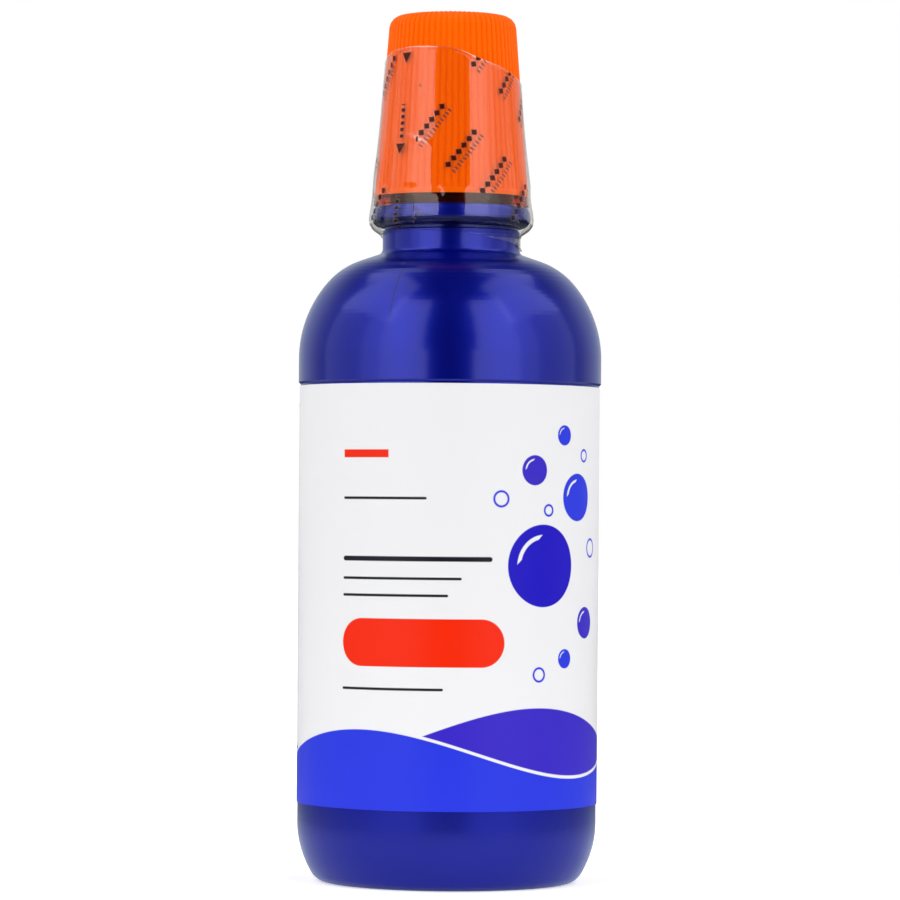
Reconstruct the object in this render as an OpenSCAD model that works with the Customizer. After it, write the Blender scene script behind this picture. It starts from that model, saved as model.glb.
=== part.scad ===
// Mouthwash bottle: a round blow-moulded bottle with a wraparound label, a tall
// ribbed screw cap that doubles as a dosing cup, a sealing ring and a clear shrink band.
// Origin on the bottle's axis at the surface it stands on, +Z up, label front towards -Y.

/* [Body] */
// Diameter of the body above the label
body_d = 70; // [60:1:80]
// Height at which the straight body ends and the shoulder begins
body_h = 120.5; // [100:0.5:150]
// Radius of the shoulder's main curve
shoulder_r = 27; // [22:0.5:29]
// Angle that the main curve turns through before a tighter one takes over
shoulder_turn = 41; // [36:1:44]
// Radius of the tighter curve
shoulder_top_r = 17; // [12:0.5:20]
// Slope of the straight stretch between the tighter curve and the neck, in degrees
shoulder_slope = 19; // [15:1:24]
// How far the label panel and the foot lie inside the body diameter
panel_recess = 0.5; // [0.3:0.1:1]
// Wall thickness of the blown shell
wall_t = 0.8; // [0.6:0.1:1.2]
// Radius of the long curve that draws the body in towards the foot
heel_r = 23.1; // [19:0.1:26]
// Height over which the body draws in towards the foot
heel_h = 14; // [10:0.5:16]
// Small radius at the edge of the foot
foot_edge_r = 4; // [2.8:0.1:5]
// Width of the flat ring that the bottle stands on
foot_ring_w = 4; // [3:0.25:6]
// Height of the pushed-up middle of the base
pushup_h = 5; // [3:0.25:8]

/* [Label] */
// Height of the label's lower edge above the foot of the bottle
label_foot_h = 18.3; // [17:0.1:24]
// Distance from the label's upper edge to the start of the shoulder
label_head_gap = 6.4; // [4:0.1:12]
// Thickness of the label film
label_t = 0.16; // [0.1:0.01:0.3]
// Width of the overlap where the label's ends meet at the back
label_lap_w = 8; // [5:0.5:12]

/* [Neck] */
// Outer diameter of the short neck between the shoulder and the groove
neck_d = 31.7; // [31.4:0.1:32]
// Height of the neck from the top of the shoulder to the groove
neck_h = 5.4; // [4:0.1:8]
// Radius of the fillet between shoulder and neck
neck_fillet_r = 1.5; // [0.8:0.1:2.5]
// Wall thickness of the neck
neck_wall_t = 1.6; // [1.2:0.1:2]
// Height of the groove below the collar
groove_h = 0.6; // [0.4:0.1:1.2]
// Depth of the groove below the collar
groove_depth = 0.5; // [0.3:0.1:0.9]
// Diameter of the collar below the thread, where it is widest
collar_d = 36.7; // [36:0.1:38]
// Radius of the collar's rounded underside
collar_under_r = 2.2; // [1.6:0.1:2.2]
// Radius of the long curve above the collar's widest place
collar_crown_r = 5; // [4:0.5:8]
// Height from the collar's widest place to its top
collar_crown_h = 2.4; // [1.8:0.1:2.8]

/* [Screw finish] */
// Height from the collar's top to the lip
finish_h = 16.2; // [15.8:0.1:19.5]
// Diameter over the crest of the neck's thread
thread_d = 31; // [30.5:0.1:31.8]
// Height of the thread's ridge above the neck
thread_depth = 1.2; // [1:0.05:1.4]
// Width of the ridge at its root
thread_root_w = 2.2; // [1.8:0.1:2.4]
// Width of the ridge at its crest
thread_crest_w = 1; // [0.7:0.1:1.3]
// Rise of the thread in one turn
thread_lead = 4.2; // [4:0.1:4.4]
// Turns of thread on the neck
neck_turns = 1.5; // [1:0.25:1.75]
// Distance from the lip to the middle of the thread's upper end
lip_to_thread = 3.1; // [3:0.1:3.6]
// Diameter of the mouth
mouth_d = 25.4; // [24:0.1:25.8]

/* [Dosing cap] */
// Height of the cap
cap_h = 44.2; // [36:0.1:52]
// Wall thickness outside the thread, taken down the draft to the cap's rim
cap_rim_wall_t = 1.8; // [1.6:0.05:2.2]
// Draft of the cap's outside in degrees
cap_draft = 4.45; // [2:0.05:4.8]
// Radius of the cap's upper edge
cap_edge_r = 3; // [2:0.1:4]
// Number of grip ribs around the cap
rib_count = 68; // [40:1:80]
// Depth of the valleys between the ribs
rib_depth = 0.35; // [0.15:0.05:0.45]
// Height of the plain band below the ribs
rib_foot_h = 3.5; // [2.8:0.1:6]
// Height of the thin skirt below the thread
skirt_h = 2.2; // [1.6:0.1:2.4]
// Wall thickness of the thin skirt at the rim
skirt_wall_t = 0.7; // [0.5:0.05:0.9]
// Wall thickness outside the channel above the thread
cap_skin_t = 1.3; // [1:0.05:1.5]
// Gap between the collar's top and the cap's rim
cap_seat_gap = 0.3; // [0.2:0.05:0.5]
// Turns of thread inside the cap
cap_turns = 1.25; // [1:0.25:1.25]
// Wall thickness of the dosing cup inside the cap
cup_wall_t = 1; // [0.8:0.05:1.2]
// How far the cup's wall reaches into the mouth
plug_depth = 3; // [1.5:0.1:5]
// Depth of the dose line from the floor of the cup
dose_line_depth = 24.5; // [14:0.5:26]
// Thickness of the cap's top
cap_top_t = 1.6; // [1.2:0.1:2.4]
// Number of webs that press on the sealing ring
web_count = 12; // [6:1:16]

/* [Sealing ring] */
// Thickness of the sealing ring
ring_t = 0.9; // [0.6:0.05:1.4]

/* [Shrink band] */
// Thickness of the band
band_t = 0.25; // [0.15:0.05:0.4]
// Gap between the band and the cap's ribs
band_gap = 0.3; // [0.2:0.05:0.5]
// Gap between the band and the collar that it passes over
band_collar_gap = 0.4; // [0.3:0.05:0.8]
// How far the band reaches below the collar
band_below_collar = 0.7; // [0.4:0.1:1.5]
// Distance from the cap's top to the band's slanting upper edge, at the axis
band_head_gap = 12.7; // [10:0.1:16]
// Slant of the band's upper edge in degrees
band_slant = 18; // [0:0.5:24]
// Direction in which the slanting edge climbs, in degrees about the axis
band_slant_turn = -118; // [-180:1:180]

/* [Hidden] */
$fn = 96;

// Clearance between the neck and what turns on it
fit_gap = 0.3;
// Clearance between flat faces that seat on each other
seat_gap = 0.05;
// How far a joined feature is sunk into the wall that carries it
sink = 0.3;
// How far a cut runs past the face it opens
overrun = 1;
// Steps along one turn of thread, and steps over which its ends fade out
steps_per_turn = 32;
fade_steps = 6;
// Segments of a quarter round, and points across one rib
quarter_steps = 6;
curve_steps = 18;
edge_steps = 4;
rib_steps = 4;
// Share of their depth that the ribs still have where they reach the cap's top
rib_top_share = 0.6;

// Body
body_r = body_d / 2;
panel_r = body_r - panel_recess;
shoulder_centre_r = body_r - shoulder_r;
heel_centre_r = panel_r - heel_r;
foot_r = heel_centre_r + sqrt(pow(heel_r - foot_edge_r, 2) - pow(heel_h - foot_edge_r, 2));
foot_angle = asin((heel_h - foot_edge_r) / (heel_r - foot_edge_r));
foot_inner_r = foot_r - foot_ring_w;
dome_r = (pow(foot_inner_r, 2) + pow(pushup_h, 2)) / (2 * pushup_h);
dome_z = pushup_h - dome_r;
dome_angle = asin(foot_inner_r / dome_r);
inner_dome_r = dome_r + wall_t;
inner_dome_edge_r = sqrt(pow(inner_dome_r, 2) - pow(wall_t - dome_z, 2));
inner_dome_angle = asin(inner_dome_edge_r / inner_dome_r);

// Label
label_glue_gap = 0.04;
label_end_gap = 0.4;
label_inner_r = panel_r + label_glue_gap;
label_outer_r = label_inner_r + label_t;
label_top_z = body_h - label_head_gap;
panel_top_z = label_top_z + label_end_gap;
label_lap_angle = label_lap_w / label_outer_r * 180 / PI;

// Neck
neck_r = neck_d / 2;
top_curve_r = shoulder_centre_r + (shoulder_r - shoulder_top_r) * cos(shoulder_turn);
top_curve_z = body_h + (shoulder_r - shoulder_top_r) * sin(shoulder_turn);
slope_start_r = top_curve_r + shoulder_top_r * sin(shoulder_slope);
slope_start_z = top_curve_z + shoulder_top_r * cos(shoulder_slope);
shoulder_top_z = slope_start_z + (slope_start_r - neck_r) * tan(shoulder_slope);
fillet_centre_r = neck_r + neck_fillet_r;
fillet_centre_z = shoulder_top_z + neck_fillet_r * (1 - sin(shoulder_slope)) / cos(shoulder_slope);
neck_edge_r = 0.4;
groove_z = shoulder_top_z + neck_h;
groove_r = neck_r - groove_depth;
collar_r = collar_d / 2;
collar_z = groove_z + groove_h;
collar_wide_z = collar_z + collar_under_r;
collar_top_z = collar_wide_z + collar_crown_h;
collar_crown_angle = asin(collar_crown_h / collar_crown_r);
neck_inner_r = neck_r - neck_wall_t;
inner_slope_z = slope_start_z - wall_t / cos(shoulder_slope);
inner_neck_z = inner_slope_z + (slope_start_r - neck_inner_r) * tan(shoulder_slope);
// The inside narrows to the mouth behind the groove, so that the wall there stays thick
funnel_top_z = collar_z;
funnel_foot_z = groove_z - neck_wall_t;

// Screw finish
thread_r = thread_d / 2;
finish_r = thread_r - thread_depth;
mouth_r = mouth_d / 2;
lip_z = collar_top_z + finish_h;
lip_edge_r = 0.4;
thread_top_z = lip_z - lip_to_thread;
thread_bottom_z = thread_top_z - neck_turns * thread_lead;
// Gap along the axis between the flanks that pull the cap down
flank_gap = 0.37;

// Dosing cap
rim_z = collar_top_z + cap_seat_gap;
cap_top_z = rim_z + cap_h;
root_r = thread_r + fit_gap;
rim_r = root_r + cap_rim_wall_t + rib_depth;
rim_edge_r = 0.3;
rim_proud = 0.05;
skirt_r = rim_r + rim_proud - skirt_wall_t;
skirt_top_z = rim_z + skirt_h;
// Height over which the inside narrows from the skirt to the thread
skirt_step_h = 0.8;
edge_z = cap_top_z - cap_edge_r;
edge_centre_r = cap_r(edge_z) - cap_edge_r / cos(cap_draft);
root_top_z = thread_top_z + thread_root_w / 2 + 2 * fit_gap;
// How far the seat of the sealing ring steps in from the thread's root
ring_step = 0.6;
ring_seat_r = root_r - ring_step;
ring_z = lip_z + seat_gap;
web_z = ring_z + ring_t + seat_gap;
bead_r = 0.6;
bead_z = ring_z - seat_gap * 2 - bead_r;
cup_outer_r = mouth_r - fit_gap;
cup_inner_r = cup_outer_r - cup_wall_t;
cup_draft = 0.3;
cup_corner_r = 1.5;
plug_z = lip_z - plug_depth;
top_recess = 0.5;
top_recess_r = edge_centre_r - cap_edge_r / 3;
cup_floor_z = cap_top_z - top_recess - cap_top_t;
channel_top_z = edge_z - cap_edge_r / 3;
web_t = 0.9;
dose_line_z = cup_floor_z - dose_line_depth;
dose_line_r = 0.25;
// Clearance between the crest of the cap's thread and the neck
crest_gap = 0.4;
cap_thread_crest_r = finish_r + crest_gap;
cap_thread_root_w = 1.9;
cap_thread_crest_w = 0.8;

// Sealing ring
ring_outer_r = ring_seat_r - fit_gap;
ring_inner_r = cup_outer_r + fit_gap * 1.5;
ring_edge = 0.1;

// Shrink band
band_cap_r = rim_r + rim_proud + band_gap;
band_foot_r = max(collar_r, neck_r) + band_collar_gap;
band_swell = band_foot_r - band_cap_r;
band_bottom_z = collar_z - band_below_collar;
band_cut_z = cap_top_z - band_head_gap;
band_peak_z = collar_wide_z;
// The swell fades out above the cap's rim, but over a narrow collar the band draws in below it
band_swell_h = band_swell > 0 ? 2 * (rim_z - band_peak_z) : (rim_z - band_peak_z) / 2;

// Functions

// Points on an arc about [cr, cz], from angle a to angle b
function arc(cr, cz, r, a, b, steps) = [
    for (i = [0:steps])
        let (t = a + (b - a) * i / steps)
        [cr + r * cos(t), cz + r * sin(t)]
];

function reversed(points) = [for (i = [len(points) - 1:-1:0]) points[i]];

// Radius of the cap over its rib crests, at height z, and of its channel
function cap_r(z) = rim_r - (z - rim_z) * tan(cap_draft);
function channel_r(z) = cap_r(z) - rib_depth - cap_skin_t;

// Share of its full swell that the band has at height z: all of it over the collar, and less above
function band_swell_share(z) =
    pow(cos(90 * min(1, max(0, z - band_peak_z) / band_swell_h)), 2);

// Radius of the band's inside at height z
function band_in_r(z) =
    band_cap_r - rim_r + cap_r(max(z, rim_z)) + band_swell * band_swell_share(z);

// Share of its full height that a ridge has at step i of n
function fade_share(i, n) = min(1, i / fade_steps, (n - i) / fade_steps);

// Profiles

function body_outline() = concat(
    reversed(arc(0, dome_z, dome_r, 90 - dome_angle, 90, curve_steps)),
    arc(foot_r, foot_edge_r, foot_edge_r, -90, -foot_angle, quarter_steps),
    arc(heel_centre_r, heel_h, heel_r, -foot_angle, 0, curve_steps),
    [[panel_r, panel_top_z]],
    [[body_r, panel_top_z + panel_recess]],
    arc(shoulder_centre_r, body_h, shoulder_r, 0, shoulder_turn, curve_steps),
    arc(top_curve_r, top_curve_z, shoulder_top_r, shoulder_turn, 90 - shoulder_slope, quarter_steps),
    reversed(arc(fillet_centre_r, fillet_centre_z, neck_fillet_r, 180, 270 - shoulder_slope, quarter_steps))
);

function neck_outline() = concat(
    arc(neck_r - neck_edge_r, groove_z - neck_edge_r, neck_edge_r, 0, 90, quarter_steps),
    [[groove_r, groove_z], [groove_r, collar_z]],
    arc(collar_r - collar_under_r, collar_wide_z, collar_under_r, -90, 0, quarter_steps),
    arc(collar_r - collar_crown_r, collar_wide_z, collar_crown_r, 0, collar_crown_angle, quarter_steps),
    [[finish_r, collar_top_z]],
    arc(finish_r - lip_edge_r, lip_z - lip_edge_r, lip_edge_r, 0, 90, quarter_steps),
    arc(mouth_r + lip_edge_r, lip_z - lip_edge_r, lip_edge_r, 90, 180, quarter_steps)
);

function bottle_inside() = concat(
    [[mouth_r, funnel_top_z], [neck_inner_r, funnel_foot_z], [neck_inner_r, inner_neck_z]],
    reversed(arc(
        top_curve_r, top_curve_z, shoulder_top_r - wall_t,
        shoulder_turn, 90 - shoulder_slope, quarter_steps
    )),
    reversed(arc(shoulder_centre_r, body_h, shoulder_r - wall_t, 0, shoulder_turn, curve_steps)),
    [[body_r - wall_t, panel_top_z + panel_recess + wall_t]],
    [[panel_r - wall_t, panel_top_z + wall_t]],
    reversed(arc(heel_centre_r, heel_h, heel_r - wall_t, -foot_angle, 0, curve_steps)),
    reversed(arc(foot_r, foot_edge_r, foot_edge_r - wall_t, -90, -foot_angle, quarter_steps)),
    arc(0, dome_z, inner_dome_r, 90 - inner_dome_angle, 90, curve_steps)
);

function cap_inside() = concat(
    [[0, rim_z - overrun], [skirt_r, rim_z - overrun], [skirt_r, skirt_top_z]],
    [[root_r, skirt_top_z + skirt_step_h], [root_r, root_top_z - sink]],
    [[ring_seat_r, root_top_z], [ring_seat_r, web_z]],
    [[channel_r(web_z), web_z], [channel_r(channel_top_z), channel_top_z]],
    [[cup_outer_r - cup_draft, channel_top_z], [cup_outer_r, web_z]],
    arc(cup_outer_r - cup_wall_t / 2, plug_z + cup_wall_t / 2, cup_wall_t / 2, 0, -180, quarter_steps),
    [[cup_inner_r, web_z]],
    arc(
        cup_inner_r - cup_draft - cup_corner_r, cup_floor_z - cup_corner_r, cup_corner_r,
        0, 90, quarter_steps
    ),
    [[0, cup_floor_z]]
);

// Levels of the ribbed form, from inside the rim band to the top: height, radius, the angle at
// which its surface faces up, and the share of the rib depth
function rib_levels() = concat(
    [[rim_z + rib_foot_h - sink, cap_r(rim_z + rib_foot_h - sink), cap_draft, 1]],
    [
        for (i = [0:edge_steps])
            let (t = cap_draft + (90 - cap_draft) * i / edge_steps)
            [
                edge_z + cap_edge_r * sin(t),
                edge_centre_r + cap_edge_r * cos(t),
                t,
                i < edge_steps ? 1 : rib_top_share
            ]
    ]
);

// Solids

// A spiral ridge whose ends fade into the wall at wall_r, from height z to z + turns * lead
module spiral_ridge(wall_r, crest_r, root_w, crest_w, turns, z) {
    way = crest_r > wall_r ? 1 : -1;
    base_r = wall_r - way * sink;
    steps = ceil(turns * steps_per_turn);
    points = [
        for (i = [0:steps])
            let (turn = 360 * turns * i / steps)
            let (mid_z = z + thread_lead * turns * i / steps)
            let (share = fade_share(i, steps))
            let (tip_r = base_r + way * sink / 2 + (crest_r - base_r - way * sink / 2) * share)
            let (tip_w = root_w + (crest_w - root_w) * share)
            each [
                [base_r * cos(turn), base_r * sin(turn), mid_z - root_w / 2],
                [tip_r * cos(turn), tip_r * sin(turn), mid_z - tip_w / 2],
                [tip_r * cos(turn), tip_r * sin(turn), mid_z + tip_w / 2],
                [base_r * cos(turn), base_r * sin(turn), mid_z + root_w / 2]
            ]
    ];
    sides = [
        for (i = [0:steps - 1], k = [0:3])
            let (a = 4 * i + k)
            let (b = 4 * i + (k + 1) % 4)
            each [[a, a + 4, b], [b, a + 4, b + 4]]
    ];
    last = 4 * steps;
    ends = [[0, 1, 2], [0, 2, 3], [last, last + 2, last + 1], [last, last + 3, last + 2]];
    faces = concat(sides, ends);
    polyhedron(points, way < 0 ? faces : [for (f = faces) reversed(f)]);
}

// The cap's grip: a drafted, ribbed cone whose ribs run over the rounded upper edge
module ribbed_form() {
    levels = rib_levels();
    around = rib_count * rib_steps;
    top = len(levels) - 1;
    points = concat(
        [
            for (level = levels, i = [0:around - 1])
                let (valley_share = 1 - sin(180 * (i % rib_steps) / rib_steps))
                let (cut = rib_depth * level[1] / rim_r * level[3] * valley_share)
                let (r = level[1] - cut * cos(level[2]))
                [r * cos(360 * i / around), r * sin(360 * i / around), level[0] - cut * sin(level[2])]
        ],
        [[0, 0, levels[0][0]], [0, 0, levels[top][0]]]
    );
    sides = [
        for (k = [0:top - 1], i = [0:around - 1])
            let (a = k * around + i)
            let (b = k * around + (i + 1) % around)
            each [[a, a + around, b], [b, a + around, b + around]]
    ];
    lids = [
        for (i = [0:around - 1])
            let (next = (i + 1) % around)
            each [
                [len(points) - 2, i, next],
                [len(points) - 1, top * around + next, top * around + i]
            ]
    ];
    polyhedron(points, concat(sides, lids));
}

// The plain band at the cap's rim, which stands just proud of the ribs
module rim_band() {
    rotate_extrude()
        polygon([
            [0, rim_z],
            [rim_r + rim_proud - rim_edge_r, rim_z],
            [rim_r + rim_proud, rim_z + rim_edge_r],
            [cap_r(rim_z + rib_foot_h) + rim_proud, rim_z + rib_foot_h],
            [0, rim_z + rib_foot_h]
        ]);
}

// A round bead on a revolved wall
module bead(at_r, at_z, r) {
    rotate_extrude()
        translate([at_r, at_z])
            circle(r, $fn = 24);
}

module bottle() {
    color([0.13, 0.18, 0.62]) {
        rotate_extrude()
            polygon(concat(body_outline(), neck_outline(), bottle_inside()));
        spiral_ridge(finish_r, thread_r, thread_root_w, thread_crest_w, neck_turns, thread_bottom_z);
    }
}

module label() {
    color([0.95, 0.95, 0.95]) {
        rotate_extrude()
            translate([label_inner_r, label_foot_h])
                square([label_t, label_top_z - label_foot_h]);
        rotate([0, 0, 90 - label_lap_angle / 2])
            rotate_extrude(angle = label_lap_angle)
                translate([label_inner_r + label_t / 2, label_foot_h])
                    square([label_t * 1.5, label_top_z - label_foot_h]);
    }
}

module sealing_ring() {
    color([0.93, 0.93, 0.9])
        translate([0, 0, ring_z])
            rotate_extrude()
                polygon([
                    [ring_inner_r, ring_edge],
                    [ring_inner_r + ring_edge, 0],
                    [ring_outer_r - ring_edge, 0],
                    [ring_outer_r, ring_edge],
                    [ring_outer_r, ring_t - ring_edge],
                    [ring_outer_r - ring_edge, ring_t],
                    [ring_inner_r + ring_edge, ring_t],
                    [ring_inner_r, ring_t - ring_edge]
                ]);
}

module dosing_cap() {
    color([1, 0.38, 0.02]) {
        difference() {
            union() {
                ribbed_form();
                rim_band();
            }
            rotate_extrude()
                polygon(cap_inside());
            translate([0, 0, cap_top_z - top_recess])
                cylinder(h = top_recess + overrun, r = top_recess_r);
        }
        bead(ring_seat_r, bead_z, bead_r);
        bead(cup_inner_r, dose_line_z, dose_line_r);
        for (i = [0:web_count - 1])
            rotate([0, 0, 360 * i / web_count])
                translate([cup_outer_r - cup_draft - sink, -web_t / 2, web_z])
                    cube([
                        channel_r(channel_top_z) - cup_outer_r + cup_draft + 2 * sink,
                        web_t,
                        channel_top_z + sink - web_z
                    ]);
        spiral_ridge(
            root_r, cap_thread_crest_r, cap_thread_root_w, cap_thread_crest_w, cap_turns,
            thread_bottom_z - thread_lead / 2 + flank_gap
        );
    }
}

module seal_band() {
    levels = [for (i = [0:curve_steps]) band_bottom_z + (cap_top_z - band_bottom_z) * i / curve_steps];
    color([0.85, 0.9, 0.95, 0.35])
        difference() {
            rotate_extrude()
                polygon(concat(
                    [for (z = levels) [band_in_r(z) + band_t, z]],
                    reversed([for (z = levels) [band_in_r(z), z]])
                ));
            translate([0, 0, band_cut_z])
                rotate([0, 0, band_slant_turn])
                    rotate([0, -band_slant, 0])
                        translate([-body_d, -body_d, 0])
                            cube([2 * body_d, 2 * body_d, cap_h]);
        }
}

bottle();
label();
sealing_ring();
dosing_cap();
seal_band();
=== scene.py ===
# %% [markdown]
# A mouthwash bottle in Blender
#
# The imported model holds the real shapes: a blown bottle, its label, the sealing ring, the
# ribbed dosing cap and a plain stand-in for the shrink film. It is loaded first and never
# moved. This lesson gives each shape its finish, models the thin film with its creases and
# its gathered hem, and lights it all the way a product photographer would.

# %% Load the frame
from math import atan2, cos, degrees, exp, pi, radians, sin, sqrt, tan
import bpy
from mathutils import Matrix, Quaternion, Vector, noise


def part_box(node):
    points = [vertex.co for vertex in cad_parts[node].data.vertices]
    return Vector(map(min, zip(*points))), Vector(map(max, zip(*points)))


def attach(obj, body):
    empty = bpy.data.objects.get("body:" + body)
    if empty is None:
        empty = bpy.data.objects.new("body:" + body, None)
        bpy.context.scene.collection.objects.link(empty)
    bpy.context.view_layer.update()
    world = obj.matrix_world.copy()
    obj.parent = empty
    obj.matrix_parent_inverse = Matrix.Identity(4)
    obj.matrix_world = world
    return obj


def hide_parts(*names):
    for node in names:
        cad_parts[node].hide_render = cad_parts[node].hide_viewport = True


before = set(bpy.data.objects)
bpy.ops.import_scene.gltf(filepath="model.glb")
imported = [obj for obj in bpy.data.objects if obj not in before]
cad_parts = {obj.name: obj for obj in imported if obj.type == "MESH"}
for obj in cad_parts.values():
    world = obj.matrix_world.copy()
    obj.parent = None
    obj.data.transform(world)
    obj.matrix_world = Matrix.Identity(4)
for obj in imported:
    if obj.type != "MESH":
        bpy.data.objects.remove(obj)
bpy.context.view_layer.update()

MM = 0.001
cap_low, cap_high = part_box("dosing_cap")
label_low, label_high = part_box("label")
print("cap from", round(cap_low.z / MM, 2), "to", round(cap_high.z / MM, 2), "mm")

# %% [markdown]
# The camera
#
# The photograph was taken from one metre away with a long lens, so the sides of the bottle
# stay almost parallel. The eye is a little below the middle of the bottle: the label's upper
# edge bows up and its lower edge bows down. The bottle leans half a degree in the picture.
# The bottle could be tilted for that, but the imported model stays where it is, so the camera
# rolls instead.

# %% Camera
EYE_ASIDE = 0.00014
EYE_DISTANCE = 0.9992
EYE_HEIGHT = 0.0855
AIM_HEIGHT = 0.0996
FOCAL_LENGTH = 172.7
SENSOR_WIDTH = 36
ROLL = radians(0.47)


def add_camera():
    data = bpy.data.cameras.new("camera")
    data.lens = FOCAL_LENGTH
    data.sensor_width = SENSOR_WIDTH
    camera = bpy.data.objects.new("camera", data)
    bpy.context.collection.objects.link(camera)
    camera.location = (EYE_ASIDE, -EYE_DISTANCE, EYE_HEIGHT)
    ahead = Vector((0, EYE_DISTANCE, AIM_HEIGHT - EYE_HEIGHT))
    camera.rotation_mode = "QUATERNION"
    roll = Quaternion((0, 0, 1), ROLL)
    camera.rotation_quaternion = ahead.to_track_quat("-Z", "Y") @ roll
    bpy.context.scene.camera = camera
    return camera


print("camera at", [round(x, 4) for x in add_camera().location])

# %% [markdown]
# A short way to write materials
#
# A material is a graph of nodes. Written out in full, each node takes four or five lines, so
# this small class makes a node in one call and links whatever is passed to it. Numbers that
# are the same all over a surface go straight onto the shader's own sockets.

# %% Material graph
class Graph:
    """The node tree of one material, with a short call for each kind of node used here."""

    def __init__(self, name):
        self.material = bpy.data.materials.new(name)
        self.material.use_nodes = True
        self.tree = self.material.node_tree
        self.shader = self.tree.nodes["Principled BSDF"]

    def put(self, socket, value):
        if isinstance(value, bpy.types.NodeSocket):
            self.tree.links.new(value, socket)
        elif socket.type == "RGBA" and len(value) == 3:
            socket.default_value = (*value, 1)
        else:
            socket.default_value = value

    def node(self, kind, inputs=None, **settings):
        made = self.tree.nodes.new("ShaderNode" + kind)
        for name, value in settings.items():
            setattr(made, name, value)
        for name, value in (inputs or {}).items():
            self.put(made.inputs[name], value)
        return made

    def math(self, operation, *values):
        made = self.tree.nodes.new("ShaderNodeMath")
        made.operation = operation
        for socket, value in zip(made.inputs, values):
            self.put(socket, value)
        return made.outputs[0]

    def place(self, scale=(1, 1, 1)):
        """Object coordinates in metres, scaled."""
        spot = self.node("TexCoord").outputs["Object"]
        return self.node("Mapping", {"Vector": spot, "Scale": scale}).outputs[0]

    def noise(self, scale, stretch=(1, 1, 1), detail=2.0):
        """Smooth noise from 0 to 1 with scale features a metre, stretched by the given shares."""
        inputs = {"Vector": self.place(stretch), "Scale": scale, "Detail": detail}
        return self.node("TexNoise", inputs).outputs[0]

    def ramp(self, value, low, high, start=0.0, end=1.0, kind="SMOOTHSTEP"):
        """Value taken from low..high to start..end, and held at the ends."""
        inputs = {"Value": value, "From Min": low, "From Max": high, "To Min": start, "To Max": end}
        return self.node("MapRange", inputs, interpolation_type=kind).outputs[0]

    def mix(self, share, under, over):
        """The colour over laid on the colour under, by share."""
        made = self.node("Mix", data_type="RGBA")
        self.put(made.inputs[0], share)
        self.put(made.inputs[6], under)
        self.put(made.inputs[7], over)
        return made.outputs[2]

    def length(self, a, b):
        """Length of the offset a, b."""
        return self.math("SQRT", self.math("ADD", self.math("MULTIPLY", a, a), self.math("MULTIPLY", b, b)))

    def bump(self, height, distance, strength=1.0):
        inputs = {"Height": height, "Distance": distance, "Strength": strength}
        return self.node("Bump", inputs).outputs[0]

    def finish(self, **sockets):
        """Sets the shader's sockets, whose names are written with _ for a space."""
        for name, value in sockets.items():
            self.put(self.shader.inputs[name.replace("_", " ")], value)
        return self.material


def srgb(red, green, blue):
    """A colour given from 0 to 255 as screens show it, as linear light."""
    shares = [c / 255 for c in (red, green, blue)]
    return [c / 12.92 if c <= 0.04045 else ((c + 0.055) / 1.055) ** 2.4 for c in shares]


def dress(node, material):
    """Gives a CAD node its finish. Its mesh stays as it is."""
    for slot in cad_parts[node].material_slots:
        slot.material = material
    print(node, "wears", material.name)


# %% [markdown]
# The blown bottle
#
# The real bottle is blown from blue plastic with a little pearl pigment. Pearl flakes mirror
# the lamps in the plastic's own blue, so the highlights are blue and soft, and the stripe
# between them, which mirrors the dark room, stays deep and clean. Plain blue plastic would
# mirror them in white, so the shader is part metallic, with a thin clear coat for the pale
# light along the sides. Two things are drawn on it by place: the parting line, where the
# halves of the mould met, is a fine groove down the shoulder with its shade painted into the
# colour as a dark line, and the underside of the collar, which is turned away from the lamps,
# is painted a darker blue as shade.

# %% Marks on the bottle
PARTING_TURN = radians(-24)
PARTING_WIDTH = 0.26
PARTING_FOOT = 0.131
PARTING_FADE = 0.004
FAINT_BELOW = 0.1
FAINT_ABOVE = 0.3
NECK_FOOT = 0.145
NECK_FADE = 0.002
COLLAR_FOOT = 0.1505
COLLAR_TURN = 0.1522
SHADE_FADE = 0.0006


def parting_line(g, spot):
    """1 on the parting line down the shoulder, fainter up the neck and below the shoulder. It dents the bump
    and darkens the colour with painted shade.
    """
    across = g.math("MULTIPLY", spot.outputs["X"], cos(PARTING_TURN) / MM)
    along = g.math("MULTIPLY", spot.outputs["Y"], sin(PARTING_TURN) / MM)
    off_line = g.math("ABSOLUTE", g.math("ADD", across, along))
    above_foot = g.ramp(spot.outputs["Z"], PARTING_FOOT - PARTING_FADE, PARTING_FOOT, FAINT_BELOW, 1)
    below_neck = g.ramp(spot.outputs["Z"], NECK_FOOT - NECK_FADE, NECK_FOOT, 1, FAINT_ABOVE)
    line = g.math("MULTIPLY", g.ramp(off_line, 0, PARTING_WIDTH, 1, 0), above_foot)
    return g.math("MULTIPLY", line, below_neck)


def collar_shade(g, spot):
    """1 on the underside of the collar, where shade is painted into the colour."""
    above = g.ramp(spot.outputs["Z"], COLLAR_FOOT - SHADE_FADE, COLLAR_FOOT)
    below = g.ramp(spot.outputs["Z"], COLLAR_TURN, COLLAR_TURN + SHADE_FADE, 1, 0)
    return g.math("MULTIPLY", above, below)


print("parting line at", round(degrees(PARTING_TURN)), "degrees from the front")

# %% Bottle
PEARL_BLUES = (srgb(2, 9, 132), srgb(3, 13, 144))
# The painted shade of the parting groove, a darker blue.
PARTING_SHADE_BLUE = srgb(2, 2, 50)
PARTING_SHADE_SHARE = 0.75
PARTING_DEPTH = 2.0
# The painted shade under the collar, a darker blue.
COLLAR_SHADE_BLUE = srgb(1, 3, 50)
COLLAR_SHADE_SHARE = 0.8
SPECK_HEIGHT = 0.8
# How many of each there are in a metre.
CLOUDS = 38
SPECKS = 900
PEARL_GRAIN = 2600
STREAKS = 160


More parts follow.
